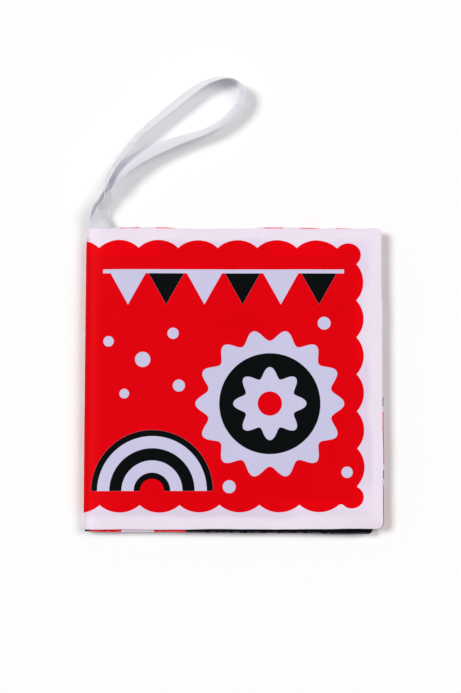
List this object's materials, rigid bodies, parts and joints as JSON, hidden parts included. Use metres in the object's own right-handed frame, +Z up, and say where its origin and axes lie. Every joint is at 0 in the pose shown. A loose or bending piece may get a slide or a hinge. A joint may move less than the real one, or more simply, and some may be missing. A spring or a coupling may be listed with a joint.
{
  "type": "crinkle cloth book",
  "caption": "Square padded cloth book for a baby: crinkly leaves sewn down a fold open like pages, and a ribbon loop at the head of the spine ties it to a pram.",
  "frame": {"origin": "centre of the closed book's footprint, on the surface that it lies on, without the free ribbon", "axes": "+Z up through the closed leaves, +Y towards the head of the pages, +X from the spine to the fore edge"},
  "size_m": [0.148, 0.2308, 0.011],
  "materials": {
    "red_print_cloth": "plain-woven polyester, printed red with a white scalloped border",
    "red_page_cloth": "plain-woven polyester, printed",
    "black_page_cloth": "plain-woven polyester, printed",
    "white_page_cloth": "plain-woven polyester, printed",
    "crinkle_film": "thin crackling film",
    "wadding": "thin fibre wadding",
    "white_thread": "twisted sewing thread",
    "ribbon": "flat woven tape"
  },
  "bodies": {
    "root": {"back_cover_crinkle_film": "crinkle_film", "back_cover_inner_cloth": "white_page_cloth", "back_cover_outer_cloth": "red_print_cloth", "back_cover_seam_thread": "white_thread", "back_cover_spine_inner_cloth": "white_page_cloth", "back_cover_spine_outer_cloth": "red_print_cloth", "back_cover_wadding": "wadding"},
    "third_leaf": {"third_leaf_crinkle_film": "crinkle_film", "third_leaf_inner_cloth": "black_page_cloth", "third_leaf_outer_cloth": "white_page_cloth", "third_leaf_seam_thread": "white_thread", "third_leaf_spine_outer_cloth": "white_page_cloth", "third_leaf_wadding": "wadding", "spine_stitches": "white_thread"},
    "second_leaf": {"second_leaf_crinkle_film": "crinkle_film", "second_leaf_inner_cloth": "white_page_cloth", "second_leaf_outer_cloth": "black_page_cloth", "second_leaf_seam_thread": "white_thread", "second_leaf_spine_outer_cloth": "black_page_cloth", "second_leaf_wadding": "wadding"},
    "front_cover": {"front_cover_crinkle_film": "crinkle_film", "front_cover_inner_cloth": "red_page_cloth", "front_cover_outer_cloth": "red_print_cloth", "front_cover_seam_thread": "white_thread", "front_cover_spine_inner_cloth": "red_page_cloth", "front_cover_spine_outer_cloth": "red_print_cloth", "front_cover_wadding": "wadding", "ribbon_upper_end": "ribbon", "ribbon_lower_end": "ribbon"},
    "ribbon": {"ribbon_loop": "ribbon"}
  },
  "joints": [
    {"name": "third_leaf_hinge", "type": "hinge", "parent": "root", "child": "third_leaf", "pos_m": [-0.07382, 0, 0.00405], "axis": [0, -1, 0], "range_deg": [0, 180]},
    {"name": "second_leaf_hinge", "type": "hinge", "parent": "third_leaf", "child": "second_leaf", "pos_m": [-0.07382, 0, 0.00405], "axis": [0, -1, 0], "range_deg": [0, 180]},
    {"name": "front_cover_hinge", "type": "hinge", "parent": "second_leaf", "child": "front_cover", "pos_m": [-0.07382, 0, 0.00405], "axis": [0, -1, 0], "range_deg": [0, 180]},
    {"name": "ribbon_hinge", "type": "hinge", "parent": "front_cover", "child": "ribbon", "pos_m": [-0.06742, 0.0762, 0.0085], "axis": [1, 0, 0], "range_deg": [0, 160]}
  ]
}
